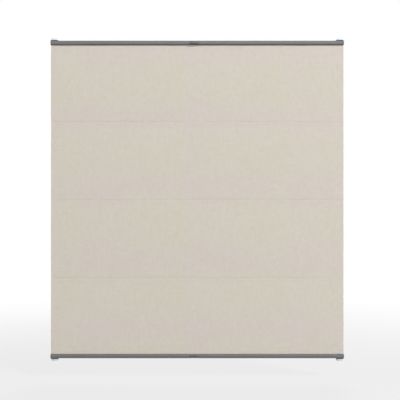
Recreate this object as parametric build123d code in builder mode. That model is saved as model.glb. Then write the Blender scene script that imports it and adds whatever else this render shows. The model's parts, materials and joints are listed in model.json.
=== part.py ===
from build123d import *
import os

os.makedirs("parts", exist_ok=True)

# A roman blind that clamps on a window sash. Two rails slide on taut guide cords,
# and a flat cloth with three rod pockets folds up between them.
# Millimetres. X runs along the rails, -Y faces the room, +Y the window, +Z is up.

# The blind as a whole
rail_span = 1000.0  # a rail over its two end caps
drop = 1082.0  # over both rails with the blind drawn out
running_gap = 0.3  # air beside a piece that slides, rests or hangs
fit_gap = 0.1  # air round a pressed or clipped fit

# Rail extrusion
rail_depth = 22.0
rail_height = 14.0
rail_wall = 1.4
rail_corner = 2.0
rail_nose_round = 4.0  # the front corner on the cloth's side
rail_crown = 0.8  # how far the front face bulges
groove_lip = 1.2  # metal left beside the slot that the cloth leaves by
rib = 1.2  # inner webs of the extrusion
nose_floor = 3.0  # metal below the small hollow behind the rounded corner
clip_groove_height = 3.0  # groove along the front that the grip clips in
clip_groove_depth = 0.6

# End caps
cap_length = 24.5
cap_chamfer = 0.8
cap_line = 6.0  # the shadow line runs this far from the rail's end
cap_line_width = 0.5
cap_line_depth = 0.4
spigot_length = 14.0
cord_eye = 2.4  # bore that a guide cord slides in
cord_channel = 2.0  # slot in the spigot that the crossing cords leave by

# Guide cords
cord_diameter = 1.2
cord_inset = 13.0  # from a rail's end to the cord
cord_level_high = 3.0  # the two crossing cords in a rail, from its middle
cord_level_low = -2.4

# Cloth
cloth_setback = 1.0  # the cloth's edges stop this far short of the rails' ends
cloth_thickness = 0.6
cloth_ahead = 3.0  # the cloth hangs this far in front of the rail's middle
panel_count = 4
panel_bow = 3.0  # each panel swells this far towards the room
hem_depth = 5.0  # cloth cut into each rail beyond the visible drop
hem_setback = 2.0  # the hem stops this far short of the end caps
slot_play = 0.5  # air on each side of the cloth in the slot

# Hem beads, fold rods and the rings on the back
bead_diameter = 3.2
pocket_height = 14.0
pocket_inset = 0.9  # cloth above and below a pocket's hollow
rod_diameter = 3.6
rod_setback = 4.0
ring_outer = 8.4
ring_wire = 1.6

# Grips, a little left of the middle
grip_shift = -9.0
grip_width = 30.0
grip_tip_width = 21.0
grip_tip_round = 2.5
grip_reach = 8.5
grip_foot = 2.9  # where its under face meets the rail, from the rail's middle
grip_lip_low = 3.6  # the lip's front, from the rail's middle
grip_lip_high = 2.2
grip_heel = 5.8
grip_hollow = 2.6

# Sash clamps
clamp_width = 19.4
clamp_wall = 1.6
clamp_rise = 9.4  # top of the clamp above the rail
clamp_reach = 8.0  # front of its housing, ahead of the rail's middle
clamp_round = 2.5
plate_gap = 1.0  # between the rail's back and the plate on the sash
plate_drop = 18.0
sash_grip = 17.0  # thickness of the sash edge that the hook takes
lip_length = 14.0
hook_round = 2.2
pad_thickness = 1.0
pad_margin = 1.7
pad_height = 10.0

# Cord shoes, clipped into the clamps
shoe_width = 22.8
shoe_depth = 20.0
shoe_plate = 2.4
shoe_corner = 2.0
boss_height = 4.4
boss_play = 0.4
latch_width = 6.0
latch_height = 2.4
latch_play = 0.3
stop_diameter = 3.6
stop_height = 2.6
stop_play = 0.3
shoe_bore = 1.8

# Springs that keep the cords taut, in the lower rail
spring_outer = 4.4
spring_length = 56.0
spring_inset = 160.0  # from the middle of the rail to the middle of a spring

# Heights
rail_top = drop / 2
rail_z = rail_top - rail_height / 2
inner_edge = rail_top - rail_height
panel_pitch = 2 * (inner_edge + hem_depth) / panel_count
seams = [panel_pitch * (panel_count / 2 - number) for number in range(1, panel_count)]
pocket_middle = pocket_height / 2

# Depths, measured from the rail's middle and then moved so that the box is centred
plate_front = rail_depth / 2 + plate_gap
sash_face = plate_front + clamp_wall
lip_front = sash_face + sash_grip + pad_thickness
hook_back = lip_front + clamp_wall
grip_front = rail_depth / 2 + grip_reach
rail_y = (grip_front - hook_back) / 2
cloth_y = rail_y - cloth_ahead
rod_y = cloth_y + cloth_thickness / 2 + running_gap + rod_diameter / 2
pocket_back = cloth_thickness / 2 + rod_diameter + 2 * running_gap + cloth_thickness
cord_y = cloth_y + pocket_back + running_gap + ring_outer / 2

# Lengths along the rail
tube_length = rail_span - 2 * cap_length
cord_x = rail_span / 2 - cord_inset
hem_length = tube_length - 2 * hem_setback
cloth_width = rail_span - 2 * cloth_setback
rod_length = cloth_width - 2 * rod_setback

# Hem and groove
hem_bore = bead_diameter + 2 * running_gap
hem_outer = hem_bore + 2 * cloth_thickness
groove_bore = hem_outer + 2 * running_gap
groove_z = inner_edge + groove_lip + groove_bore / 2
slot_width = cloth_thickness + 2 * slot_play

corners = {
    "top_left": (),
    "top_right": (Plane.YZ,),
    "bottom_left": (Plane.XY,),
    "bottom_right": (Plane.YZ, Plane.XY),
}


def write(part, name):
    """Labels a finished piece and writes it."""
    part.label = name
    export_step(part, f"parts/{name}.step")


def write_mirrored(part, name, planes):
    """Writes a copy of a piece, mirrored in turn about each plane."""
    for plane in planes:
        part = part.mirror(plane)
    with BuildPart() as copy:
        add(part)
    write(copy.part, name)


def write_corners(part, kind):
    """Writes a top left piece and its mirror images at the other three corners."""
    for corner, planes in corners.items():
        write_mirrored(part, f"{corner}_{kind}", planes)


def write_pair(part, kind):
    """Writes a top piece and its mirror image at the bottom."""
    write_mirrored(part, f"top_{kind}", ())
    write_mirrored(part, f"bottom_{kind}", (Plane.XY,))


def add_rail_outline(grow=0.0, mode=Mode.ADD):
    """Adds the rail's outer section to the sketch, with its crowned front face."""
    front = rail_y - rail_depth / 2 - grow
    back = rail_y + rail_depth / 2 + grow
    top = rail_top + grow
    foot = inner_edge - grow
    with BuildSketch(mode=Mode.PRIVATE) as outline:
        with BuildLine():
            ThreePointArc((front + rail_crown, foot), (front, rail_z), (front + rail_crown, top))
            Line((front + rail_crown, top), (back, top))
            Line((back, top), (back, foot))
            Line((back, foot), (front + rail_crown, foot))
        make_face()
        corners_by_place = sorted(outline.vertices(), key=lambda v: v.X + v.Y)
        fillet(corners_by_place[1:], rail_corner)
        nose_corner = sorted(outline.vertices(), key=lambda v: v.X + v.Y)[0]
        fillet(nose_corner, rail_nose_round)
    add(outline.sketch, mode=mode)


def add_box_section(low, high, mode=Mode.ADD):
    """Adds a rectangle to the sketch, from its lowest to its highest corner."""
    width = high[0] - low[0]
    height = high[1] - low[1]
    with Locations(((low[0] + high[0]) / 2, (low[1] + high[1]) / 2)):
        Rectangle(width, height, mode=mode)


def add_cord_chamber(shrink=0.0, mode=Mode.ADD):
    """Adds the L-shaped hollow that the crossing cords run in."""
    front = rail_y - rail_depth / 2 + rail_crown + rail_wall + shrink
    back = rail_y + rail_depth / 2 - rail_wall - shrink
    top = rail_top - rail_wall - shrink
    floor = groove_z + groove_bore / 2 + rib + shrink
    web = cloth_y + groove_bore / 2 + rib + shrink
    foot = inner_edge + rail_wall + shrink
    add_box_section((front, floor), (back, top), mode)
    add_box_section((web, foot), (back, top), mode)


def build_rail():
    """The upper rail's extrusion."""
    nose = rail_y - rail_depth / 2
    nose_back = cloth_y - groove_bore / 2 - rib
    nose_top = groove_z + groove_bore / 2
    with BuildPart() as rail:
        with BuildSketch(Plane.YZ.offset(-tube_length / 2)):
            add_rail_outline()
            add_cord_chamber(mode=Mode.SUBTRACT)
            add_box_section(
                (nose + rail_crown + rail_wall, inner_edge + nose_floor),
                (nose_back, nose_top),
                Mode.SUBTRACT,
            )
            with Locations((cloth_y, groove_z)):
                Circle(groove_bore / 2, mode=Mode.SUBTRACT)
            add_box_section(
                (cloth_y - slot_width / 2, inner_edge - groove_lip),
                (cloth_y + slot_width / 2, groove_z),
                Mode.SUBTRACT,
            )
            add_box_section(
                (nose - clip_groove_depth, rail_z - clip_groove_height / 2),
                (nose + clip_groove_depth, rail_z + clip_groove_height / 2),
                Mode.SUBTRACT,
            )
        extrude(amount=tube_length)
    return rail.part


def build_end_cap():
    """The top left end cap: a block like the rail, a spigot, and the cords' eye and slot."""
    outer_end = -rail_span / 2
    inner_end = outer_end + cap_length
    with BuildPart() as cap:
        with BuildSketch(Plane.YZ.offset(outer_end)):
            add_rail_outline()
        extrude(amount=cap_length)
        chamfer(cap.faces().sort_by(Axis.X)[0].edges(), cap_chamfer)
        with BuildSketch(Plane.YZ.offset(outer_end + cap_line)):
            add_rail_outline(grow=cap_line_depth)
            add_rail_outline(grow=-cap_line_depth, mode=Mode.SUBTRACT)
        extrude(amount=cap_line_width, mode=Mode.SUBTRACT)
        with BuildSketch(Plane.YZ.offset(inner_end)):
            add_cord_chamber(shrink=fit_gap)
        extrude(amount=spigot_length)
        with BuildSketch(Plane.YZ.offset(-cord_x)):
            add_box_section(
                (cord_y - cord_channel / 2, rail_z + cord_level_low - cord_channel / 2),
                (cord_y + cord_channel / 2, rail_z + cord_level_high + cord_channel / 2),
            )
        extrude(amount=cord_x + inner_end + spigot_length, mode=Mode.SUBTRACT)
        with Locations((-cord_x, cord_y, rail_z)):
            Cylinder(cord_eye / 2, rail_height, mode=Mode.SUBTRACT)
    return cap.part


def build_grip():
    """The upper rail's finger grip, clipped in the groove along the rail's front."""
    nose = rail_y - rail_depth / 2
    lip_low = (nose - grip_reach, rail_z - grip_lip_low)
    lip_high = (nose - grip_reach, rail_z - grip_lip_high)
    foot = (nose + rail_crown, rail_z - grip_foot)
    heel = (nose + rail_crown, rail_z + grip_heel)
    knuckle = (nose - grip_hollow, rail_z + grip_heel)
    hollow = (nose - grip_reach / 2, rail_z - grip_lip_high + grip_hollow / 2)
    with BuildPart() as grip:
        with BuildSketch(Plane.YZ.offset(grip_shift)) as side:
            with BuildLine():
                Polyline(foot, lip_low, lip_high)
                ThreePointArc(lip_high, hollow, knuckle)
                Line(knuckle, heel)
                Line(heel, foot)
            make_face()
            add_rail_outline(grow=fit_gap, mode=Mode.SUBTRACT)
            add_box_section(
                (nose - clip_groove_depth - fit_gap, rail_z - clip_groove_height / 2 + fit_gap),
                (nose + clip_groove_depth - fit_gap, rail_z + clip_groove_height / 2 - fit_gap),
            )
        extrude(amount=grip_width / 2, both=True)
        with BuildSketch(Plane.XY.offset(inner_edge)) as plan:
            with BuildLine():
                Polyline(
                    (grip_shift - grip_width / 2, nose + rail_crown),
                    (grip_shift - grip_tip_width / 2, lip_low[0]),
                    (grip_shift + grip_tip_width / 2, lip_low[0]),
                    (grip_shift + grip_width / 2, nose + rail_crown),
                    close=True,
                )
            make_face()
            fillet(plan.vertices().group_by(Axis.Y)[0], grip_tip_round)
        extrude(amount=rail_height, mode=Mode.INTERSECT)
    return grip.part


def build_clamp():
    """The top left sash clamp: a housing for the cord shoe, a plate and a hook over the sash."""
    housing_front = rail_y - clamp_reach
    plate_y = rail_y + plate_front
    lip_y = rail_y + lip_front
    back = rail_y + hook_back
    top = rail_top + clamp_rise
    housing_foot = rail_top + running_gap + shoe_plate
    latch_y = (housing_front + plate_y) / 2
    latch_z = housing_foot + boss_height / 2
    with BuildPart() as clamp:
        with BuildSketch(Plane.YZ.offset(-cord_x)) as side:
            add_box_section((housing_front, housing_foot), (plate_y, top))
            add_box_section((plate_y, rail_top - plate_drop), (plate_y + clamp_wall, top))
            add_box_section((plate_y, top - clamp_wall), (back, top))
            add_box_section((lip_y, top - lip_length), (back, top))
            upper = side.vertices().group_by(Axis.Y)[-1]
            fillet(upper.sort_by(Axis.X)[0], clamp_round)
            rear = side.vertices().group_by(Axis.X)[-1]
            fillet(rear.sort_by(Axis.Y)[-1], hook_round)
        extrude(amount=clamp_width / 2, both=True)
        with BuildSketch(Plane.XY.offset(housing_foot)):
            add_box_section(
                (-cord_x - clamp_width / 2 + clamp_wall, housing_front + clamp_wall),
                (-cord_x + clamp_width / 2 - clamp_wall, plate_y - clamp_wall),
            )
        extrude(amount=top - clamp_wall - housing_foot, mode=Mode.SUBTRACT)
        with Locations((-cord_x, latch_y, latch_z)):
            Box(clamp_width, latch_width, latch_height, mode=Mode.SUBTRACT)
    return clamp.part


def build_pad():
    """The top left clamp's rubber pad, on the inside of its lip."""
    lip_y = rail_y + lip_front
    foot = rail_top + clamp_rise - clamp_wall - pad_margin - pad_height
    with BuildPart() as pad:
        with BuildSketch(Plane.XZ.offset(-lip_y)):
            with Locations((-cord_x, foot + pad_height / 2)):
                Rectangle(clamp_width - 2 * pad_margin, pad_height)
        extrude(amount=pad_thickness)
    return pad.part


def build_shoe():
    """The top left cord shoe: a plate over the end cap and a boss that latches in the clamp."""
    housing_front = rail_y - clamp_reach
    plate_y = rail_y + plate_front
    foot = rail_top + running_gap
    boss_foot = foot + shoe_plate
    boss_top = boss_foot + boss_height
    boss_width = clamp_width - 2 * clamp_wall - 2 * boss_play
    boss_front = housing_front + clamp_wall + boss_play
    boss_back = plate_y - clamp_wall - boss_play
    latch_y = (housing_front + plate_y) / 2
    with BuildPart() as shoe:
        with BuildSketch(Plane.XY.offset(foot)):
            with Locations((-cord_x, rail_y)):
                RectangleRounded(shoe_width, shoe_depth, shoe_corner)
        extrude(amount=shoe_plate)
        with BuildSketch(Plane.XY.offset(boss_foot)):
            add_box_section(
                (-cord_x - boss_width / 2, boss_front), (-cord_x + boss_width / 2, boss_back)
            )
        extrude(amount=boss_height)
        with Locations((-cord_x, latch_y, boss_foot + boss_height / 2)):
            Box(
                clamp_width - 2 * latch_play,
                latch_width - 2 * latch_play,
                latch_height - 2 * latch_play,
            )
        with Locations((-cord_x, cord_y, (foot + boss_top) / 2)):
            Cylinder(shoe_bore / 2, boss_top - foot, mode=Mode.SUBTRACT)
        with Locations((-cord_x, cord_y, boss_top - stop_height / 2)):
            Cylinder(stop_diameter / 2 + stop_play, stop_height, mode=Mode.SUBTRACT)
    return shoe.part


def build_cord_stop():
    """The top left cord's crimped stop, seated in the shoe."""
    top = rail_top + running_gap + shoe_plate + boss_height
    with BuildPart() as stop:
        with Locations((-cord_x, cord_y, top - stop_height / 2)):
            Cylinder(stop_diameter / 2, stop_height)
    return stop.part


def build_cord(side):
    """The straight guide cord on one side, from its upper stop to its lower one."""
    reach = rail_top + running_gap + shoe_plate + boss_height - stop_height
    with BuildPart() as cord:
        with Locations((side * cord_x, cord_y, 0)):
            Cylinder(cord_diameter / 2, 2 * reach)
    return cord.part


def build_crossing_cords():
    """The two cords that cross inside the upper rail, from eye to eye."""
    reach = cord_x - cord_diameter / 2 - running_gap
    with BuildPart() as cords:
        with BuildSketch(Plane.YZ):
            with Locations((cord_y, rail_z + cord_level_high), (cord_y, rail_z + cord_level_low)):
                Circle(cord_diameter / 2)
        extrude(amount=reach, both=True)
    return cords.part


def build_sprung_cords():
    """The two cords that cross inside the lower rail, each broken where its spring is."""
    reach = cord_x - cord_diameter / 2 - running_gap
    rows = ((cord_level_high, spring_inset), (cord_level_low, -spring_inset))
    with BuildPart() as cords:
        for level, spring_x in rows:
            left = spring_x - spring_length / 2
            right = spring_x + spring_length / 2
            for start, end in ((-reach, left), (right, reach)):
                with BuildSketch(Plane.YZ.offset(start)):
                    with Locations((cord_y, -rail_z - level)):
                        Circle(cord_diameter / 2)
                extrude(amount=end - start)
    return cords.part


def build_springs():
    """The two tension springs, closed coils drawn as their outer shape."""
    rows = ((cord_level_high, spring_inset), (cord_level_low, -spring_inset))
    with BuildPart() as springs:
        for level, spring_x in rows:
            with BuildSketch(Plane.YZ.offset(spring_x)):
                with Locations((cord_y, -rail_z - level)):
                    Circle(spring_outer / 2)
            extrude(amount=spring_length / 2, both=True)
    return springs.part


def build_bead():
    """The bead that holds the cloth's upper hem in the rail's groove."""
    with BuildPart() as bead:
        with BuildSketch(Plane.YZ):
            with Locations((cloth_y, groove_z)):
                Circle(bead_diameter / 2)
        extrude(amount=hem_length / 2, both=True)
    return bead.part


def add_panel(top, foot):
    """Adds one bowed panel of cloth to the sketch."""
    front = cloth_y - cloth_thickness / 2
    back = cloth_y + cloth_thickness / 2
    middle = (top + foot) / 2
    with BuildSketch(mode=Mode.PRIVATE) as panel:
        with BuildLine():
            ThreePointArc((front, top), (front - panel_bow, middle), (front, foot))
            Line((front, foot), (back, foot))
            ThreePointArc((back, foot), (back - panel_bow, middle), (back, top))
            Line((back, top), (front, top))
        make_face()
    add(panel.sketch)


def add_pocket(seam, chord_y, crest_y, inset, mode):
    """Adds or cuts a D-shaped section behind the cloth, below a seam."""
    start = (chord_y, seam - inset)
    end = (chord_y, seam - pocket_height + inset)
    with BuildSketch(mode=Mode.PRIVATE) as pocket:
        with BuildLine():
            ThreePointArc(start, (crest_y, seam - pocket_middle), end)
            Line(end, start)
        make_face()
    add(pocket.sketch, mode=mode)


def build_cloth():
    """The cloth: bowed panels, a rod pocket under each seam, and a hem looped round each bead."""
    edge = inner_edge - running_gap
    back = cloth_y + cloth_thickness / 2
    crest = cloth_y + pocket_back
    tops = [edge, *[seam - pocket_height for seam in seams]]
    feet = [*seams, -edge]
    with BuildPart() as cloth:
        with BuildSketch(Plane.YZ):
            for top, foot in zip(tops, feet):
                add_panel(top, foot)
            for seam in seams:
                add_box_section((back - cloth_thickness, seam - pocket_height), (back, seam))
                add_pocket(seam, cloth_y, crest, 0.0, Mode.ADD)
                add_pocket(seam, back, crest - cloth_thickness, pocket_inset, Mode.SUBTRACT)
        extrude(amount=cloth_width / 2, both=True)
        with BuildSketch(Plane.YZ):
            for level in (1, -1):
                with Locations((cloth_y, level * groove_z)):
                    Circle(hem_outer / 2)
                with Locations((cloth_y, level * (edge + groove_z) / 2)):
                    Rectangle(cloth_thickness, groove_z - edge)
                with Locations((cloth_y, level * groove_z)):
                    Circle(hem_bore / 2, mode=Mode.SUBTRACT)
        extrude(amount=hem_length / 2, both=True)
    return cloth.part


def build_rod(seam):
    """The stiff rod in the pocket under one seam."""
    with BuildPart() as rod:
        with BuildSketch(Plane.YZ):
            with Locations((rod_y, seam - pocket_middle)):
                Circle(rod_diameter / 2)
        extrude(amount=rod_length / 2, both=True)
    return rod.part


def build_rings(seam):
    """The two rings sewn behind one pocket, which the guide cords run through."""
    with BuildPart() as rings:
        for side in (-1, 1):
            axis = Axis((side * cord_x, cord_y, 0), (0, 0, 1))
            with BuildSketch(Plane.XZ.offset(-cord_y)):
                with Locations((side * cord_x + (ring_outer - ring_wire) / 2, seam - pocket_middle)):
                    Rectangle(ring_wire, ring_wire)
            revolve(axis=axis)
    return rings.part


write_pair(build_rail(), "rail")
write_pair(build_bead(), "hem_bead")
write_pair(build_grip(), "grip")
write_corners(build_end_cap(), "end_cap")
write_corners(build_clamp(), "clamp")
write_corners(build_pad(), "clamp_pad")
write_corners(build_shoe(), "cord_shoe")
write_corners(build_cord_stop(), "cord_stop")
write(build_cord(-1), "left_guide_cord")
write(build_cord(1), "right_guide_cord")
write(build_crossing_cords(), "top_crossing_cords")
write(build_sprung_cords(), "bottom_crossing_cords")
write(build_springs(), "tension_springs")
write(build_cloth(), "cloth")
for number, seam in enumerate(seams, start=1):
    write(build_rod(seam), f"fold_rod_{number}")
    write(build_rings(seam), f"cord_rings_{number}")
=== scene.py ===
import json
import math
import random

import bmesh
import bpy
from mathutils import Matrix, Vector


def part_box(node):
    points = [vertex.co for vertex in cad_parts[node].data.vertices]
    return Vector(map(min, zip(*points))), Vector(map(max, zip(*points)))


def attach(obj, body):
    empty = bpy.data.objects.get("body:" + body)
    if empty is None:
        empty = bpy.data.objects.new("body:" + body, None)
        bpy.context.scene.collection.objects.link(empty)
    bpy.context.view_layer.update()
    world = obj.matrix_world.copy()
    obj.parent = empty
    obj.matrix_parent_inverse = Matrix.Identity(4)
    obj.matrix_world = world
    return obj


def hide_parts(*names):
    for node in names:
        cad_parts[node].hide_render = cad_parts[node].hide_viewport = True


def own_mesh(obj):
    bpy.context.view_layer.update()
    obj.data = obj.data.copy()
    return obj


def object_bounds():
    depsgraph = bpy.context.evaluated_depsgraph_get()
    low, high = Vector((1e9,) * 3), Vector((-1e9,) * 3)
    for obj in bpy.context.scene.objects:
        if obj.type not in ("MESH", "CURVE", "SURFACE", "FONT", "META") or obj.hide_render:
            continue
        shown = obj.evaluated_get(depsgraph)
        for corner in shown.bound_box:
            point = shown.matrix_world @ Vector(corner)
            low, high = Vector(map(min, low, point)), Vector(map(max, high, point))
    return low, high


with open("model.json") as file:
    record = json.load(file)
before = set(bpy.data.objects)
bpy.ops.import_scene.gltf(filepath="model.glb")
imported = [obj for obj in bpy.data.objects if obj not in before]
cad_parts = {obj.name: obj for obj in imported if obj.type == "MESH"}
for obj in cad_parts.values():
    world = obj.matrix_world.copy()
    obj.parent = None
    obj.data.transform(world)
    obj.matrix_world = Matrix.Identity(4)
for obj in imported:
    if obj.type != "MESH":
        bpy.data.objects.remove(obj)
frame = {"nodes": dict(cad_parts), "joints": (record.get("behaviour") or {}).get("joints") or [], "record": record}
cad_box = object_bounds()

# Looks for the roman blind. Metres, in the frame of the CAD: X along the rails, -Y into the room, +Z up.

# The cloth.
FOLDS = (1, 2, 3)
CLOTH_THICKNESS = 0.0006
CLOTH_GAP = 0.0003  # between the cloth and a rail, a hem's bead or a ring beside it
BOW_SHARE = 0.4  # of the swell that the solid has, because the cloth hangs nearly flat
RIPPLE = 0.00022  # the cloth's own unevenness
# Each ripple is a strength times two waves. A wave has radians to a metre across and up, and a start.
RIPPLE_WAVES = (
    (1.0, ((17.0, 5.0, 0.7), (-6.0, 11.0, 1.9))),
    (0.5, ((43.0, -21.0, 2.3), (9.0, 37.0, 0.4))),
)
PANEL_COLUMNS = 110
PANEL_ROWS = 26
CLOSE_ROWS = (0.0, 0.0004, 0.0008, 0.0013, 0.0019, 0.0028, 0.0045, 0.008)  # from a panel's end
EVEN_ROWS_FROM = 0.014  # from a panel's end to the first of its evenly spaced rows

# Its side hems, pockets and rail hems.
SIDE_HEM = 0.0075
SIDE_HEM_STEP = 0.0004  # how much thicker the cloth is there
SIDE_HEM_RISE = 0.0006  # how much of the side hem's width the step takes
EDGE_COLUMN = 0.0004  # the width of the outermost column
POCKET_HEIGHT = 0.014
POCKET_COLUMNS = 60
BAND_SHARES = (0, 0.03, 0.06, 0.1, 0.16, 0.3, 0.5, 0.7, 0.84, 0.9, 0.94, 0.97, 1)  # down a pocket's front
LOOP_STEPS = 12  # round a pocket's back
LOOP_DEPTH = 0.0002  # how far the turned cloth stays behind the face of the pocket's front at least
SEAM_TUCK = 0.00046  # a pocket's band starts this far behind the cloth that hangs over it
TUCK_REACH = 0.006
PINCH_DEPTH = 0.00016  # how far a pocket's lower row of stitches pulls the cloth back
PINCH_REACH = 0.0011
SEAM_GAP = 0.00006  # keeps a rail hem clear of the panel that it carries on from
NECK_BEND = 0.0012  # from the end of a rail hem's straight neck to the circle round its bead
HEM_OPENING = 0.16  # half the angle that the circle leaves open for the neck, in radians
HEM_STEPS = 28
HEM_COLUMNS = 30

# Its stitches.
STITCH_LENGTH = 0.0028
STITCH_PITCH = 0.0036
STITCH_RADIUS = 0.00022
STITCH_PROUD = 0.3  # of its radius, from the face of the cloth to a stitch's middle line
STITCH_MARGIN = 0.002  # from the cloth's side edge to the first stitch
STITCH_JITTER = 0.0002
STITCH_LEAN = 0.00012
STITCH_SEED = 7
STITCH_SIDES = 6
# Places along a stitch and how thick it is there, as shares of its length and its radius.
STITCH_PROFILE = ((0.0, 0.15), (0.22, 0.85), (0.5, 1.0), (0.78, 0.85), (1.0, 0.15))
UPPER_ROW = 0.0006  # from a pocket's seam down to its upper row of stitches
LOWER_ROW = 0.0004  # from a pocket's foot up to its lower row

# Rings, thread and springs.
RING_STEPS = 36
RING_SIDES = 10
TIE_OFFSETS = (-0.0011, -0.0004, 0.0003, 0.001)  # from a ring's middle to each turn of thread
TIE_RADIUS = 0.0002
TIE_LIFT = 0.0001  # from the ring to the middle of the thread, which is pulled tight
TIE_STEPS = 20
TIE_SIDES = 6
SPRING_WIRE = 0.0004  # its radius
SPRING_PITCH = 2.2  # in radii of the wire, because the springs are close-wound
SPRING_LEAN = 0.02  # how far the wire runs along the spring for 1 round it
SPRING_STEPS = 12  # to a turn
SPRING_SIDES = 6

# Edges.
EDGE_ROUNDINGS = {
    "_clamp": (0.0005, "moulding"),
    "_shoe": (0.0004, "moulding"),
    "_grip": (0.0006, "moulding"),
    "_pad": (0.0002, "rubber"),
}
EDGE_SEGMENTS = 2
ROUNDED_ANGLE = math.radians(40)
SHARP_ANGLE = math.radians(35)
FLAT_ANGLE = math.radians(1.0)
WELD = 1e-6

# The linen's colours, threads and bands of tint.
LINEN = (0.648, 0.593, 0.538)
LINEN_GREEN = (0.634, 0.604, 0.508)
LINEN_MAUVE = (0.662, 0.581, 0.578)
# DEEPER darkens the painted shade between the threads and, as a tone of the yarn, the slubs; DEEPER_YELLOW darkens
# the mottle.
DEEPER = (0.88, 0.88, 0.88)
DEEPER_YELLOW = (0.905, 0.905, 0.82)
WARP_PITCH = 0.0009
WEFT_PITCH = 0.0010
UPRIGHT_PITCH = 0.344
UPRIGHT_START = -0.0518
UPRIGHT_DEPTH = 0.16
UPRIGHT_LINE = 0.965  # the share of an upright band from which it is greener still
LEVEL_PITCH = 0.239
LEVEL_START = 0.034
LEVEL_DEPTH = 0.28
MAUVE_SHARE = 0.43  # where no band or cloud changes it
DAYLIGHT = 0.08  # the share of the linen's shader that lets light through

# The floor and the light from all round.
FLOOR_DROP = 0.065  # from the blind's lowest point to the floor
FLOOR_HALF = 14.0
FLOOR_GREY = (0.28, 0.28, 0.28)
FLOOR_NEAR = 0.5
FLOOR_FAR = 3.0
FLOOR_WHITE = 0.76
AMBIENT = 0.10
WHITE = (1.0, 1.0, 1.0, 1.0)

# The photograph.
PHOTO_WIDTH = 1.362  # what its full width spans at the rails' front
CAMERA_DISTANCE = 3.3
CAMERA_RIGHT = 0.0095
CAMERA_RISE = -0.0019

# Blender's own numbers.
NOISE_RANGE = (0.3, 0.7)  # where most of a noise texture's values lie
WAVE_RADIANS = 20.0  # what a wave texture of scale 1 turns through in a metre
MIX_SHARE, MIX_FIRST, MIX_SECOND, MIX_RESULT = 0, 6, 7, 2  # a mix node's sockets for colours

ACROSS, BACK, UP = Vector((1, 0, 0)), Vector((0, 1, 0)), Vector((0, 0, 1))

scene = bpy.context.scene
nodes = frame["nodes"]
body_of = {n: b for b, names in frame["record"]["behaviour"]["bodies"].items() for n in names}
slot_of = {s["node"]: s["material_slot"] for s in frame["record"]["subparts"]}
joints = {j["name"]: j for j in frame["joints"]}


# Parts of a material.
def material(name, colour, roughness, metallic=0.0, sheen=0.0, coat=0.0, coat_roughness=0.3):
    """A new material, its node tree, and its shader with the values that are the same all over."""
    made = bpy.data.materials.new(name)
    made.use_nodes = True
    made.diffuse_color = (*colour, 1.0)
    tree = made.node_tree
    shader = tree.nodes["Principled BSDF"]
    shader.inputs["Base Color"].default_value = (*colour, 1.0)
    shader.inputs["Roughness"].default_value = roughness
    shader.inputs["Metallic"].default_value = metallic
    shader.inputs["Sheen Weight"].default_value = sheen
    shader.inputs["Coat Weight"].default_value = coat
    shader.inputs["Coat Roughness"].default_value = coat_roughness
    return made, tree, shader


def node(tree, kind, **values):
    """A new node, with its settings and the values of its sockets."""
    made = tree.nodes.new(kind)
    for key, value in values.items():
        if key in made.inputs:
            made.inputs[key].default_value = value
        else:
            setattr(made, key, value)
    return made


def feed(tree, socket, value):
    """Gives a socket its value, which is another socket, a number or a colour of three numbers."""
    if isinstance(value, bpy.types.NodeSocket):
        tree.links.new(value, socket)
    elif isinstance(value, tuple):
        socket.default_value = (*value, 1.0)
    else:
        socket.default_value = value


def calculated(tree, operation, first, second=0.0):
    """A sum, product or the like of two sockets or numbers."""
    made = node(tree, "ShaderNodeMath", operation=operation)
    for socket, value in zip(made.inputs, (first, second)):
        feed(tree, socket, value)
    return made.outputs[0]


def mean(tree, first, second):
    """Halfway between two sockets or numbers."""
    return calculated(tree, "MULTIPLY", calculated(tree, "ADD", first, second), 0.5)


def places(tree, scale=(1.0, 1.0, 1.0)):
    """Where a point is on the object, in metres, stretched by scale."""
    where = node(tree, "ShaderNodeTexCoord")
    mapping = node(tree, "ShaderNodeMapping", Scale=scale)
    tree.links.new(where.outputs["Object"], mapping.inputs["Vector"])
    return mapping.outputs["Vector"]


def periods_past(tree, axis, period, start):
    """How many periods a point lies past a start along one axis."""
    where = node(tree, "ShaderNodeTexCoord")
    split = node(tree, "ShaderNodeSeparateXYZ")
    tree.links.new(where.outputs["Object"], split.inputs[0])
    away = calculated(tree, "SUBTRACT", split.outputs[axis], start)
    return calculated(tree, "DIVIDE", away, period)


def noise(tree, scale, detail=3.0, stretch=(1.0, 1.0, 1.0)):
    """Noise in patches of about 1 / scale metres, which are longer where stretch is less than 1."""
    made = node(tree, "ShaderNodeTexNoise", Scale=scale, Detail=detail)
    tree.links.new(places(tree, stretch), made.inputs["Vector"])
    return made.outputs["Fac"]


def waves(tree, direction, pitch, distortion, detail_scale):
    """Ridges of a given pitch in metres along X, Y or Z."""
    made = node(tree, "ShaderNodeTexWave", wave_type="BANDS", bands_direction=direction, Detail=1.0)
    made.inputs["Scale"].default_value = math.tau / WAVE_RADIANS / pitch
    made.inputs["Distortion"].default_value = distortion
    made.inputs["Detail Scale"].default_value = detail_scale
    tree.links.new(places(tree), made.inputs["Vector"])
    return made.outputs["Fac"]


def threads(tree, scale_up, scale_across, stretch):
    """Noise drawn out up the cloth, together with noise drawn out across it."""
    warp = noise(tree, scale_up, 2.0, (1.0, 1.0, stretch))
    weft = noise(tree, scale_across, 2.0, (stretch, 1.0, 1.0))
    return mean(tree, warp, weft)


def remapped(tree, value, old, new, **settings):
    """A value taken from its old range to a new one."""
    made = node(tree, "ShaderNodeMapRange", **settings)
    for name, limit in zip(("From Min", "From Max", "To Min", "To Max"), (*old, *new)):
        made.inputs[name].default_value = limit
    tree.links.new(value, made.inputs["Value"])
    return made.outputs["Result"]


def spread(tree, value, low, high):
    """A noise, spread over low to high."""
    return remapped(tree, value, NOISE_RANGE, (low, high))


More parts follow.
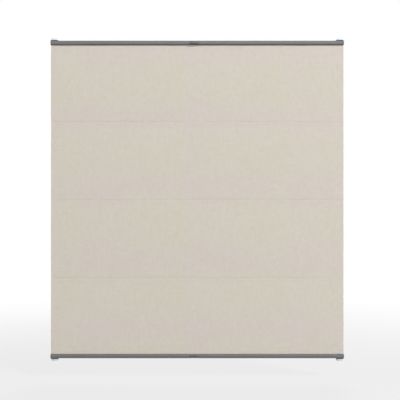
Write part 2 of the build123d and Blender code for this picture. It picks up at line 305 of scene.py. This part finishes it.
def mixed(tree, share, first, second, blend="MIX"):
    """One colour turned into another by a share."""
    made = node(tree, "ShaderNodeMix", data_type="RGBA", blend_type=blend)
    feed(tree, made.inputs[MIX_SHARE], share)
    feed(tree, made.inputs[MIX_FIRST], first)
    feed(tree, made.inputs[MIX_SECOND], second)
    return made.outputs[MIX_RESULT]


def deepened(tree, share, colour, factor):
    """A colour taken down by a share of a factor."""
    return mixed(tree, share, colour, factor, "MULTIPLY")


def shaded(colour, factor):
    """A colour made lighter or darker."""
    return tuple(min(1.0, c * factor) for c in colour)


def bump(tree, height, distance, strength, under=None):
    """Relief of a height in metres, over any relief under it."""
    made = node(tree, "ShaderNodeBump", Strength=strength, Distance=distance)
    tree.links.new(height, made.inputs["Height"])
    if under is not None:
        tree.links.new(under, made.inputs["Normal"])
    return made.outputs["Normal"]


def mixed_shaders(tree, share, first, second):
    """One shader turned into another by a share."""
    made = node(tree, "ShaderNodeMixShader")
    for socket, value in zip(made.inputs, (share, first.outputs[0], second.outputs[0])):
        feed(tree, socket, value)
    return made.outputs[0]


# Materials.
def moulded(name, colour, roughness, grain=900.0, relief=0.00004, variation=0.05, coat=0.0):
    """Moulded or coated plastic: a fine grain, a faint cloudiness, and uneven gloss."""
    made, tree, shader = material(name, colour, roughness, coat=coat)
    clouds = spread(tree, noise(tree, scale=14.0, detail=4.0), 0.0, 1.0)
    rubbed = noise(tree, scale=120.0, detail=5.0)
    tint = mixed(tree, clouds, shaded(colour, 1 - variation), shaded(colour, 1 + variation))
    tint = mixed(tree, spread(tree, rubbed, 0.0, 0.25), tint, shaded(colour, 1 + 3 * variation))
    gloss = spread(tree, rubbed, roughness - 0.06, min(1.0, roughness + 0.08))
    normal = bump(tree, noise(tree, grain, detail=2.0), relief, strength=0.5)
    tree.links.new(tint, shader.inputs["Base Color"])
    tree.links.new(gloss, shader.inputs["Roughness"])
    tree.links.new(normal, shader.inputs["Normal"])
    return made


def coated_metal():
    """Grey powder coat on extruded aluminium: drawn lines along the rail, and a fine orange peel."""
    colour = (0.106, 0.106, 0.106)
    made, tree, shader = material("grey_powder_coat", colour, 0.45, coat=0.06, coat_roughness=0.35)
    drawn = noise(tree, scale=700.0, stretch=(0.01, 1.0, 1.0))
    clouds = spread(tree, noise(tree, scale=9.0), 0.0, 1.0)
    tint = mixed(tree, clouds, shaded(colour, 0.95), shaded(colour, 1.05))
    tint = mixed(tree, spread(tree, drawn, 0.0, 0.3), tint, shaded(colour, 1.2))
    gloss = spread(tree, noise(tree, scale=60.0, detail=4.0), 0.4, 0.52)
    peel = bump(tree, noise(tree, scale=1500.0, detail=1.0), 0.00003, strength=0.5)
    normal = bump(tree, drawn, 0.00003, strength=0.4, under=peel)
    tree.links.new(tint, shader.inputs["Base Color"])
    tree.links.new(gloss, shader.inputs["Roughness"])
    tree.links.new(normal, shader.inputs["Normal"])
    return made


def braided(name, colour, direction, pitch=0.0011, painted_shade_and_light=(0.72, 1.1)):
    """A braided cord or a twisted thread: slanting strands, with painted shade between them and painted light on
    them.
    """
    made, tree, shader = material(name, colour, 0.75, sheen=0.3)
    strands = waves(tree, direction, pitch, distortion=2.0, detail_scale=2.0)
    # Painted shade in the grooves between strands and painted light on their crests.
    tint = mixed(tree, strands, shaded(colour, painted_shade_and_light[0]), shaded(colour, painted_shade_and_light[1]))
    tree.links.new(tint, shader.inputs["Base Color"])
    tree.links.new(bump(tree, strands, 0.00012, strength=0.8), shader.inputs["Normal"])
    return made


def bright_wire():
    """Drawn spring wire."""
    made, tree, shader = material("spring_wire", (0.55, 0.55, 0.54), 0.32, metallic=1.0)
    tree.links.new(spread(tree, noise(tree, scale=500.0), 0.26, 0.44), shader.inputs["Roughness"])
    return made


def mauve_share(tree):
    """How mauve the linen is, from 0, green, to 1: bands of tint, and small clouds over them."""
    # An upright band fades from mauve to green and ends in a narrow line. A level band swells and fades.
    upright = calculated(tree, "FRACT", periods_past(tree, "X", UPRIGHT_PITCH, UPRIGHT_START))
    line = calculated(tree, "GREATER_THAN", upright, UPRIGHT_LINE)
    upright = calculated(tree, "MULTIPLY", calculated(tree, "ADD", upright, line), UPRIGHT_DEPTH)
    turn = calculated(tree, "MULTIPLY", periods_past(tree, "Z", LEVEL_PITCH, LEVEL_START), math.tau)
    swell = mean(tree, calculated(tree, "COSINE", turn), 1.0)
    level = calculated(tree, "MULTIPLY", calculated(tree, "POWER", swell, 2.0), LEVEL_DEPTH)
    bands = calculated(tree, "SUBTRACT", level, upright)
    clouds_up = noise(tree, scale=240.0, detail=2.0, stretch=(1.0, 1.0, 0.4))
    clouds_across = noise(tree, scale=170.0, detail=2.0, stretch=(0.5, 1.0, 1.0))
    clouds = calculated(tree, "SUBTRACT", calculated(tree, "ADD", clouds_up, clouds_across), 1.0)
    return calculated(tree, "ADD", calculated(tree, "ADD", bands, clouds), MAUVE_SHARE)


def linen():
    """Woven linen: warp and weft with painted shade between the threads, slubs, faint bands of tint, and some
    daylight through it.
    """
    made, tree, shader = material("linen_cloth", LINEN, 0.9, sheen=0.1)
    warp = waves(tree, "X", WARP_PITCH, distortion=0.6, detail_scale=3.0)
    weft = waves(tree, "Z", WEFT_PITCH, distortion=0.6, detail_scale=3.0)
    weave = mean(tree, warp, weft)
    slubs = threads(tree, 900.0, 900.0, stretch=0.03)
    mottle = threads(tree, 130.0, 150.0, stretch=0.5)
    # Painted shade between the threads of the weave.
    painted_weave_shade = calculated(tree, "MULTIPLY", calculated(tree, "SUBTRACT", 1.0, weave), 0.5)
    tint = mixed(tree, mauve_share(tree), LINEN_GREEN, LINEN_MAUVE)
    tint = deepened(tree, painted_weave_shade, tint, DEEPER)
    tint = deepened(tree, spread(tree, slubs, 0.0, 0.5), tint, DEEPER)
    tint = deepened(tree, spread(tree, mottle, 0.0, 0.72), tint, DEEPER_YELLOW)
    normal = bump(tree, calculated(tree, "ADD", weave, slubs), 0.00012, strength=0.6)
    glow = node(tree, "ShaderNodeBsdfTranslucent")
    tree.links.new(tint, shader.inputs["Base Color"])
    tree.links.new(tint, glow.inputs["Color"])
    tree.links.new(normal, shader.inputs["Normal"])
    tree.links.new(normal, glow.inputs["Normal"])
    both = mixed_shaders(tree, DAYLIGHT, shader, glow)
    tree.links.new(both, tree.nodes["Material Output"].inputs["Surface"])
    return made


finishes = {
    "rail_aluminium": coated_metal(),
    "grey_plastic": moulded("grey_fittings", (0.110, 0.114, 0.123), 0.55),
    "clamp_plastic": moulded("white_clamps", (0.64, 0.66, 0.688), 0.4, variation=0.02, coat=0.1),
    "pad_rubber": moulded(
        "grey_rubber", (0.45, 0.45, 0.44), 0.8, grain=1600.0, relief=0.00008, variation=0.04,
    ),
    "clear_plastic": moulded("milky_plastic", (0.72, 0.71, 0.68), 0.35, variation=0.02, coat=0.2),
    "cord": braided("upright_cord", (0.60, 0.58, 0.54), "Z"),
    "rod": moulded(
        "white_glass_fibre", (0.78, 0.78, 0.75), 0.5, grain=2400.0, relief=0.00003, variation=0.02,
    ),
    "spring_steel": bright_wire(),
    "linen": linen(),
}
# What nodes with these endings have in place of their slot's own finish.
other_finishes = {
    "cord_shoe": moulded("black_shoes", (0.075, 0.076, 0.075), 0.65),
    "crossing_cords": braided("level_cord", (0.60, 0.58, 0.54), "X"),
}
# Sewing thread a little darker than the linen: partly its own colour, partly painted shade along the seams.
thread = braided("sewing_thread", (0.57, 0.52, 0.455), "X", pitch=0.0007, painted_shade_and_light=(0.88, 1.12))


def dress(obj, surface):
    """Gives an object one material all over."""
    obj.data.materials.clear()
    obj.data.materials.append(surface)


for name, obj in nodes.items():
    dress(obj, finishes[slot_of[name]])
    for ending, surface in other_finishes.items():
        if name.endswith(ending):
            dress(obj, surface)


# Objects and their meshes.
def placed(name, data):
    """A new object in the scene."""
    obj = bpy.data.objects.new(name, data)
    scene.collection.objects.link(obj)
    return obj


def new_piece(name, vertices, faces, surface):
    """A mesh object from its corners and faces, smooth except at sharp edges."""
    mesh = bpy.data.meshes.new(name)
    mesh.from_pydata(vertices, [], faces)
    mesh.update()
    obj = placed(name, mesh)
    dress(obj, surface)
    mesh.shade_smooth()
    mesh.set_sharp_from_angle(angle=SHARP_ANGLE)
    return obj


def skin(faces, base, count, sides, closed):
    """Joins a count of rings of corners into a tube, with its ends shut unless it closes on itself."""
    for ring in range(count if closed else count - 1):
        near = base + ring * sides
        far = base + (ring + 1) % count * sides
        for side in range(sides):
            after = (side + 1) % sides
            faces.append((near + side, near + after, far + after, far + side))
    if not closed:
        last = base + (count - 1) * sides
        faces.append(tuple(base + side for side in reversed(range(sides))))
        faces.append(tuple(last + side for side in range(sides)))


def tube(vertices, faces, centres, normals, runs, radius, sides, closed):
    """Adds a round tube: each ring's centre, the direction of its first corner, and the way the tube runs."""
    base = len(vertices)
    for centre, normal, run in zip(centres, normals, runs):
        other = run.cross(normal)
        for side in range(sides):
            turn = math.tau * side / sides
            vertices.append(centre + radius * (normal * math.cos(turn) + other * math.sin(turn)))
    skin(faces, base, len(centres), sides, closed)


def hoop(vertices, faces, hub, radius, first, second, steps, wire, sides):
    """Adds a ring of round wire about a hub, in the plane of two directions."""
    turns = [math.tau * k / steps for k in range(steps)]
    spokes = [first * math.cos(turn) + second * math.sin(turn) for turn in turns]
    runs = [second * math.cos(turn) - first * math.sin(turn) for turn in turns]
    centres = [hub + radius * spoke for spoke in spokes]
    tube(vertices, faces, centres, spokes, runs, wire, sides, True)


# Rigid pieces with the edges that a mould or a die leaves.
def softened(name, width, label):
    """A copy of a CAD piece with rounded edges, which stands for it."""
    source = nodes[name]
    mesh = source.data.copy()
    work = bmesh.new()
    work.from_mesh(mesh)
    bmesh.ops.remove_doubles(work, verts=work.verts, dist=WELD)
    bmesh.ops.dissolve_limit(work, angle_limit=FLAT_ANGLE, verts=work.verts, edges=work.edges)
    work.to_mesh(mesh)
    work.free()
    obj = placed(f"{name}_{label}", mesh)
    mesh.shade_smooth()
    rounding = obj.modifiers.new("edges", "BEVEL")
    rounding.width = width
    rounding.segments = EDGE_SEGMENTS
    rounding.limit_method = "ANGLE"
    rounding.angle_limit = ROUNDED_ANGLE
    rounding.harden_normals = True
    dress(obj, source.data.materials[0])
    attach(obj, body_of[name])
    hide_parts(name)


for name in nodes:
    for ending, (width, label) in EDGE_ROUNDINGS.items():
        if name.endswith(ending):
            softened(name, width, label)


# The cloth.
cloth_low, cloth_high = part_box("cloth")
bead_low, bead_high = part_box("top_hem_bead")
rail_low, rail_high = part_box("top_rail")
plane_y = (bead_low.y + bead_high.y) / 2
face_y = plane_y - CLOTH_THICKNESS / 2
hem_z = (bead_low.z + bead_high.z) / 2
panel_bow = BOW_SHARE * (face_y - cloth_low.y)
half_width = cloth_high.x
hem_half_width = rail_high.x - CLOTH_GAP
cloth_edge = rail_low.z - CLOTH_GAP
rod_boxes = [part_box(f"fold_rod_{number}") for number in FOLDS]
seams = [(low.z + high.z) / 2 + POCKET_HEIGHT / 2 for low, high in rod_boxes]


def ripple(x, z):
    """The cloth's unevenness, the same on every piece of it."""
    total = 0.0
    for strength, pair in RIPPLE_WAVES:
        heights = [math.sin(aside * x + upward * z + start) for aside, upward, start in pair]
        total += strength * math.prod(heights)
    return RIPPLE * total


def pinch(z):
    """How far a pocket's lower row of stitches pulls the cloth back."""
    near = min(abs(z - seam + POCKET_HEIGHT) for seam in seams)
    return PINCH_DEPTH * math.exp(-((near / PINCH_REACH) ** 2))


def tuck(z, seam):
    """How far a pocket's band lies behind the cloth that hangs over its upper seam."""
    return SEAM_TUCK * math.exp(-(((seam - z) / TUCK_REACH) ** 2))


def from_middle(z, top, foot):
    """How far a height is from a panel's middle: 1 at its top, and -1 at its foot."""
    return (2 * z - top - foot) / (top - foot)


def bow(z, top, foot):
    """How far a panel swells towards the room at one height."""
    share = from_middle(z, top, foot)
    return panel_bow * (1 - share * share)


def calm(z, top, foot):
    """Holds the ripple to nothing at a panel's ends."""
    return 1 - from_middle(z, top, foot) ** 6


def side_hem(x):
    """How much thicker the cloth is where its edge is turned over."""
    inside = abs(x) - (half_width - SIDE_HEM)
    return SIDE_HEM_STEP * min(1.0, max(0.0, inside / SIDE_HEM_RISE))


def evenly(half, count):
    """Evenly spaced places from -half to half."""
    return [half * (2 * k / count - 1) for k in range(count + 1)]


def across(count):
    """Places across the cloth, closer where its edges are turned over."""
    inner = half_width - SIDE_HEM
    columns = evenly(inner, count)
    for step in (SIDE_HEM_RISE, 2 * SIDE_HEM_RISE, SIDE_HEM - EDGE_COLUMN, SIDE_HEM):
        columns += [inner + step, -inner - step]
    return sorted(columns)


def down(top, foot):
    """Heights down a panel, closer near its ends."""
    ends = [top - drop for drop in CLOSE_ROWS] + [foot + rise for rise in CLOSE_ROWS]
    first, last = top - EVEN_ROWS_FROM, foot + EVEN_ROWS_FROM
    middle = [first + (last - first) * k / PANEL_ROWS for k in range(PANEL_ROWS + 1)]
    return sorted(ends + middle, reverse=True)


def strip(name, xs, front, back, closed):
    """A piece of cloth from its front and back lines at each x, (y, z) to a point, joined round its edges.

    Closed lines are loops, such as a pocket's.
    """
    count = len(front(xs[0]))
    column_size = 2 * count
    steps = count if closed else count - 1
    vertices, faces = [], []
    for x in xs:
        vertices += [Vector((x, *point)) for point in front(x)]
        vertices += [Vector((x, *point)) for point in back(x)]
    for column in range(len(xs) - 1):
        left, right = column * column_size, (column + 1) * column_size
        for k in range(steps):
            after = (k + 1) % count
            faces.append((left + k, left + after, right + after, right + k))
            faces.append((left + count + k, right + count + k, right + count + after, left + count + after))
        if not closed:
            faces.append((left, right, right + count, left + count))
            faces.append((left + count - 1, right - 1, right + column_size - 1, right + count - 1))
    for start, turn in ((0, 1), ((len(xs) - 1) * column_size, -1)):
        for k in range(steps):
            after = (k + 1) % count
            face = (start + k, start + count + k, start + count + after, start + after)
            faces.append(face[::turn])
    obj = new_piece(name, vertices, faces, finishes["linen"])
    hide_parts("cloth")
    return obj


def length_of(points):
    """How long a line of points is."""
    return sum((Vector(end) - Vector(start)).length for start, end in zip(points, points[1:]))


def panel(number, top, foot):
    """One bowed panel between two rows of stitches, and its length from top to foot."""
    heights = down(top, foot)

    def front(x):
        points = []
        for z in heights:
            swell = bow(z, top, foot) + ripple(x, z) * calm(z, top, foot)
            points.append((face_y - swell + pinch(z), z))
        return points

    def back(x):
        return [(y + CLOTH_THICKNESS + side_hem(x), z) for y, z in front(x)]

    obj = strip(f"cloth_panel_{number}", across(PANEL_COLUMNS), front, back, False)
    return obj, length_of(front(0.0))


def stitch(vertices, faces, start, y, z, lean):
    """Adds one stitch, a short swell of thread that rises by lean from its start to its end."""
    base = len(vertices)
    for share, thickness in STITCH_PROFILE:
        for side in range(STITCH_SIDES):
            turn = math.tau * side / STITCH_SIDES
            vertices.append((
                start + share * STITCH_LENGTH,
                y + STITCH_RADIUS * thickness * math.cos(turn),
                z + lean * (share - 0.5) + STITCH_RADIUS * thickness * math.sin(turn),
            ))
    skin(faces, base, len(STITCH_PROFILE), STITCH_SIDES, False)


def stitches(name, rows):
    """Rows of stitches across the front of the cloth, each the z and the y of its thread."""
    rng = random.Random(STITCH_SEED)
    count = int(2 * (half_width - STITCH_MARGIN) / STITCH_PITCH)
    vertices, faces = [], []
    for z, y in rows:
        for number in range(count):
            place = -half_width + STITCH_MARGIN + number * STITCH_PITCH
            start = place + rng.uniform(-STITCH_JITTER, STITCH_JITTER)
            stitch(vertices, faces, start, y, z, rng.uniform(-STITCH_LEAN, STITCH_LEAN))
    return new_piece(name, vertices, faces, thread)


def pocket(number, seam):
    """One pocket: the straight band in front and the turned cloth round the rod."""
    rod = f"fold_rod_{number}"
    foot = seam - POCKET_HEIGHT
    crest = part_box(f"cord_rings_{number}")[0].y - CLOTH_GAP
    reach = crest - plane_y
    radius = (reach * reach + (POCKET_HEIGHT / 2) ** 2) / (2 * reach)
    centre = crest - radius
    opening = math.asin(POCKET_HEIGHT / 2 / radius)
    if centre > plane_y:
        opening = math.pi - opening

    def loop(inset):
        """The pocket's outline, (y, z) to a point, so far in from its outside."""
        face = face_y + inset
        points = []
        for share in BAND_SHARES:
            z = seam - POCKET_HEIGHT * share
            points.append((face + pinch(z) + tuck(z, seam), min(max(z, foot + inset), seam - inset)))
        for k in range(1, LOOP_STEPS):
            turn = -opening + 2 * opening * k / LOOP_STEPS
            y = centre + (radius - inset) * math.cos(turn)
            z = (seam + foot) / 2 + (radius - inset) * math.sin(turn)
            points.append((max(y, face + LOOP_DEPTH), min(max(z, foot + inset), seam - inset)))
        return points

    columns = across(POCKET_COLUMNS)
    obj = strip(f"cloth_pocket_{number}", columns, lambda x: loop(0.0), lambda x: loop(CLOTH_THICKNESS), True)
    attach(obj, body_of[rod])
    upper, lower = seam - UPPER_ROW, foot + LOWER_ROW
    thread_y = face_y - STITCH_PROUD * STITCH_RADIUS
    rows = ((upper, thread_y + tuck(upper, seam)), (lower, thread_y + pinch(lower)))
    sewing = stitches(f"pocket_stitches_{number}", rows)
    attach(sewing, body_of[rod])


def hem(end, side):
    """The cloth inside the top or bottom rail: a neck through the slot and a loop round the bead.

    Side is 1 at the top and -1 at the bottom.
    """
    radius = (bead_high.z - bead_low.z) / 2 + CLOTH_GAP

    def line(offset):
        """The hem's line, (y, z) to a point, so far from the middle of the cloth."""
        neck = (cloth_edge + SEAM_GAP, hem_z - radius - NECK_BEND)
        points = [(plane_y + offset, side * z) for z in neck]
        reach = radius + CLOTH_THICKNESS / 2 + offset
        for k in range(HEM_STEPS + 1):
            turn = -math.pi / 2 + HEM_OPENING + (math.tau - 2 * HEM_OPENING) * k / HEM_STEPS
            points.append((plane_y + reach * math.cos(turn), side * (hem_z + reach * math.sin(turn))))
        return points

    half = CLOTH_THICKNESS / 2
    columns = evenly(hem_half_width, HEM_COLUMNS)
    obj = strip(f"cloth_hem_{end}", columns, lambda x: line(half), lambda x: line(-half), False)
    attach(obj, f"{end}_rail_set")


rail_travel = max(joints["top_rail_slide"]["range_m"])
fold_travel = max(joints["upper_fold_slide"]["range_m"])
tops = [cloth_edge] + [seam - POCKET_HEIGHT for seam in seams]
feet = seams + [-cloth_edge]
# Each panel is held at the end that its own body carries.
holds = (
    ("upper_fold", "top_rail_slide", feet[0], rail_travel - fold_travel, ["top_rail", "fold_rod_1"]),
    ("frame", "upper_fold_slide", feet[1], fold_travel, ["fold_rod_1", "fold_rod_2"]),
    ("frame", "lower_fold_slide", tops[2], fold_travel, ["fold_rod_2", "fold_rod_3"]),
    ("lower_fold", "bottom_rail_slide", tops[3], rail_travel - fold_travel, ["fold_rod_3", "bottom_rail"]),
)
for number, (top, foot, hold) in enumerate(zip(tops, feet, holds), start=1):
    body, joint, anchor, shrink, rest_on = hold
    piece, length = panel(number, top, foot)
    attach(piece, body)
    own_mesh(piece)
for number, seam in zip(FOLDS, seams):
    pocket(number, seam)
hem("top", 1)
hem("bottom", -1)


# Rings and springs.
def rings(number):
    """The two round rings behind one pocket, each tied to it with a few turns of thread."""
    solid = f"cord_rings_{number}"
    low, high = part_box(solid)
    wire = (high.z - low.z) / 2
    outer = (high.y - low.y) / 2
    middle = (low + high) / 2
    ring_places = [side * (high.x - outer) for side in (-1, 1)]
    vertices, faces = [], []
    for x in ring_places:
        hub = Vector((x, middle.y, middle.z))
        hoop(vertices, faces, hub, outer - wire, ACROSS, BACK, RING_STEPS, wire, RING_SIDES)
    obj = new_piece(f"round_rings_{number}", vertices, faces, finishes["clear_plastic"])
    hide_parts(solid)
    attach(obj, body_of[solid])
    vertices, faces = [], []
    for x in ring_places:
        for offset in TIE_OFFSETS:
            hub = Vector((x + offset, low.y + wire, middle.z))
            hoop(vertices, faces, hub, wire + TIE_LIFT, BACK, UP, TIE_STEPS, TIE_RADIUS, TIE_SIDES)
    tie = new_piece(f"ring_thread_{number}", vertices, faces, thread)
    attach(tie, body_of[solid])


def springs():
    """The two close-wound springs in the lower rail."""
    low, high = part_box("tension_springs")
    middle_y = (low.y + high.y) / 2
    reach = (high.y - low.y) / 2 - SPRING_WIRE
    corners = [vertex.co for vertex in nodes["tension_springs"].data.vertices]
    vertices, faces = [], []
    for group in ([c for c in corners if c.x < 0], [c for c in corners if c.x > 0]):
        start, end = min(c.x for c in group), max(c.x for c in group)
        level = (min(c.z for c in group) + max(c.z for c in group)) / 2
        count = int((end - start) / (SPRING_PITCH * SPRING_WIRE)) * SPRING_STEPS
        centres, normals, runs = [], [], []
        for k in range(count + 1):
            turn = math.tau * k / SPRING_STEPS
            spoke = Vector((0, math.cos(turn), math.sin(turn)))
            x = start + SPRING_WIRE + (end - start - 2 * SPRING_WIRE) * k / count
            centres.append(Vector((x, middle_y, level)) + reach * spoke)
            normals.append(spoke)
            runs.append(Vector((SPRING_LEAN, -spoke.z, spoke.y)).normalized())
        tube(vertices, faces, centres, normals, runs, SPRING_WIRE, SPRING_SIDES, False)
    obj = new_piece("spring_coils", vertices, faces, finishes["spring_steel"])
    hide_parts("tension_springs")
    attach(obj, body_of["tension_springs"])


for number in FOLDS:
    rings(number)
springs()


# Floor, light and camera.
def eye(tree):
    """1 for what the camera, gloss and glass see, and 0 for the light that falls on the object."""
    path = node(tree, "ShaderNodeLightPath")
    seen = calculated(tree, "MAXIMUM", path.outputs["Is Camera Ray"], path.outputs["Is Glossy Ray"])
    return calculated(tree, "MAXIMUM", seen, path.outputs["Is Transmission Ray"])


def distance_white(tree):
    """How white the floor looks: least below the blind, and 1 far away, so that it has no horizon."""
    where = node(tree, "ShaderNodeTexCoord")
    flat = node(tree, "ShaderNodeVectorMath", operation="MULTIPLY")
    flat.inputs[1].default_value = ACROSS + BACK
    tree.links.new(where.outputs["Object"], flat.inputs[0])
    length = node(tree, "ShaderNodeVectorMath", operation="LENGTH")
    tree.links.new(flat.outputs[0], length.inputs[0])
    away = length.outputs["Value"]
    return remapped(tree, away, (FLOOR_NEAR, FLOOR_FAR), (FLOOR_WHITE, 1.0), interpolation_type="SMOOTHSTEP")


def pale_floor():
    """A grey floor that the camera sees as nearly white."""
    made, tree, shader = material("pale_floor", FLOOR_GREY, 0.9)
    white = node(tree, "ShaderNodeEmission", Strength=1.0)
    share = calculated(tree, "MULTIPLY", eye(tree), distance_white(tree))
    both = mixed_shaders(tree, share, shader, white)
    tree.links.new(both, tree.nodes["Material Output"].inputs["Surface"])
    return made


def studio():
    """A world that looks white and gives faint light from all round."""
    made = bpy.data.worlds.new("studio")
    made.use_nodes = True
    tree = made.node_tree
    ambient = tree.nodes["Background"]
    ambient.inputs["Color"].default_value = WHITE
    ambient.inputs["Strength"].default_value = AMBIENT
    backdrop = node(tree, "ShaderNodeBackground", Color=WHITE, Strength=1.0)
    both = mixed_shaders(tree, eye(tree), ambient, backdrop)
    tree.links.new(both, tree.nodes["World Output"].inputs["Surface"])
    return made


def lay_floor(z):
    """A flat square floor."""
    mesh = bpy.data.meshes.new("floor")
    corners = [(x * FLOOR_HALF, y * FLOOR_HALF, z) for x, y in ((-1, -1), (1, -1), (1, 1), (-1, 1))]
    mesh.from_pydata(corners, [], [(0, 1, 2, 3)])
    obj = placed("floor", mesh)
    dress(obj, pale_floor())


def softbox(name, bearing, rise, distance, size, light):
    """A square lamp that faces the blind.

    Its bearing goes round from straight in front towards the right, and its rise up from level, in degrees.
    Light is what a white card that faces it at the blind would send back.
    """
    lamp = bpy.data.lights.new(name, "AREA")
    lamp.size = size
    lamp.energy = light * (math.pi * distance) ** 2
    obj = placed(name, lamp)
    level = distance * math.cos(math.radians(rise))
    obj.location = (
        level * math.sin(math.radians(bearing)),
        -level * math.cos(math.radians(bearing)),
        distance * math.sin(math.radians(rise)),
    )
    obj.rotation_euler = (-obj.location).to_track_quat("-Z", "Y").to_euler()
    obj.visible_camera = False


lay_floor(cad_box[0].z - FLOOR_DROP)
scene.world = studio()
softbox("key_light", bearing=39.0, rise=27.0, distance=11.0, size=1.7, light=0.86)
softbox("front_light", bearing=2.0, rise=12.0, distance=11.0, size=2.6, light=0.28)
softbox("left_light", bearing=-75.0, rise=20.0, distance=9.0, size=3.0, light=0.32)
softbox("back_light", bearing=170.0, rise=30.0, distance=5.0, size=3.0, light=0.75)

camera_data = bpy.data.cameras.new("camera")
camera_data.sensor_fit = "HORIZONTAL"
camera_data.angle = 2 * math.atan(PHOTO_WIDTH / 2 / CAMERA_DISTANCE)
camera = placed("camera", camera_data)
camera.location = (CAMERA_RIGHT, rail_low.y - CAMERA_DISTANCE, CAMERA_RISE)
camera.rotation_euler = (math.pi / 2, 0.0, 0.0)
scene.camera = camera
scene.view_settings.view_transform = "Standard"
